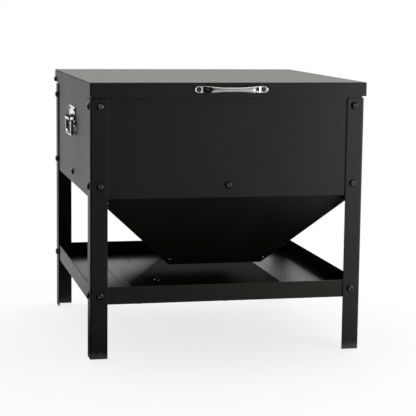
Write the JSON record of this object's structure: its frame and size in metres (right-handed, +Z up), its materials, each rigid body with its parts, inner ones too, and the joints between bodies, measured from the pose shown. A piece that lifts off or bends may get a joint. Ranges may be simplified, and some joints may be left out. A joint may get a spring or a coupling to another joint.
{
  "type": "box poultry feeder",
  "caption": "Black sheet-steel poultry feeder: lidded square feed box on angle legs, tapered hopper over a raised rimmed tray, chrome lid pull and side carry handles.",
  "frame": {"origin": "on the floor, at the middle of the four feet", "axes": "+X to the right along the front, +Y from front to back, +Z up"},
  "size_m": [0.4566, 0.4664, 0.434],
  "materials": {
    "black_powder_coat": "satin black powder coat on folded steel sheet",
    "black_fasteners": "black oxide bolts and nuts with a low sheen",
    "chrome_fittings": "bright chrome plate",
    "zinc_steel": "bright zinc plate"
  },
  "bodies": {
    "root": {"carry_plate_left": "chrome_fittings", "carry_plate_right": "chrome_fittings", "carry_plate_rivets": "zinc_steel", "floor_bolt": "black_fasteners", "floor_nut": "black_fasteners", "hopper_back": "black_powder_coat", "hopper_bolts": "black_fasteners", "hopper_front": "black_powder_coat", "hopper_left": "black_powder_coat", "hopper_nuts": "black_fasteners", "hopper_right": "black_powder_coat", "leg_back_left": "black_powder_coat", "leg_back_right": "black_powder_coat", "leg_bolts": "black_fasteners", "leg_front_left": "black_powder_coat", "leg_front_right": "black_powder_coat", "leg_nuts": "black_fasteners", "lid_pivot_bolts": "black_fasteners", "lid_pivot_nuts": "black_fasteners", "lid_pivot_spacers": "zinc_steel", "panel_back": "black_powder_coat", "panel_bolts": "black_fasteners", "panel_front": "black_powder_coat", "panel_left": "black_powder_coat", "panel_nuts": "black_fasteners", "panel_right": "black_powder_coat", "tray_bolts": "black_fasteners", "tray_left": "black_powder_coat", "tray_middle": "black_powder_coat", "tray_nuts": "black_fasteners", "tray_right": "black_powder_coat", "tray_rim_back": "black_powder_coat", "tray_rim_front": "black_powder_coat"},
    "lid": {"lid_pull": "chrome_fittings", "lid_pull_bolts": "black_fasteners", "lid_pull_nuts": "black_fasteners", "lid_shell": "black_powder_coat"},
    "bail_left": {"carry_bail_left": "chrome_fittings"},
    "bail_right": {"carry_bail_right": "chrome_fittings"}
  },
  "joints": [
    {"name": "lid_hinge", "type": "hinge", "parent": "root", "child": "lid", "pos_m": [0, 0.2055, 0.417], "axis": [-1, 0, 0], "range_deg": [0, 93]},
    {"name": "bail_left_hinge", "type": "hinge", "parent": "root", "child": "bail_left", "pos_m": [-0.22358, 0, 0.363], "axis": [0, 1, 0], "range_deg": [0, 110]},
    {"name": "bail_right_hinge", "type": "hinge", "parent": "root", "child": "bail_right", "pos_m": [0.22358, 0, 0.363], "axis": [0, -1, 0], "range_deg": [0, 110]}
  ]
}
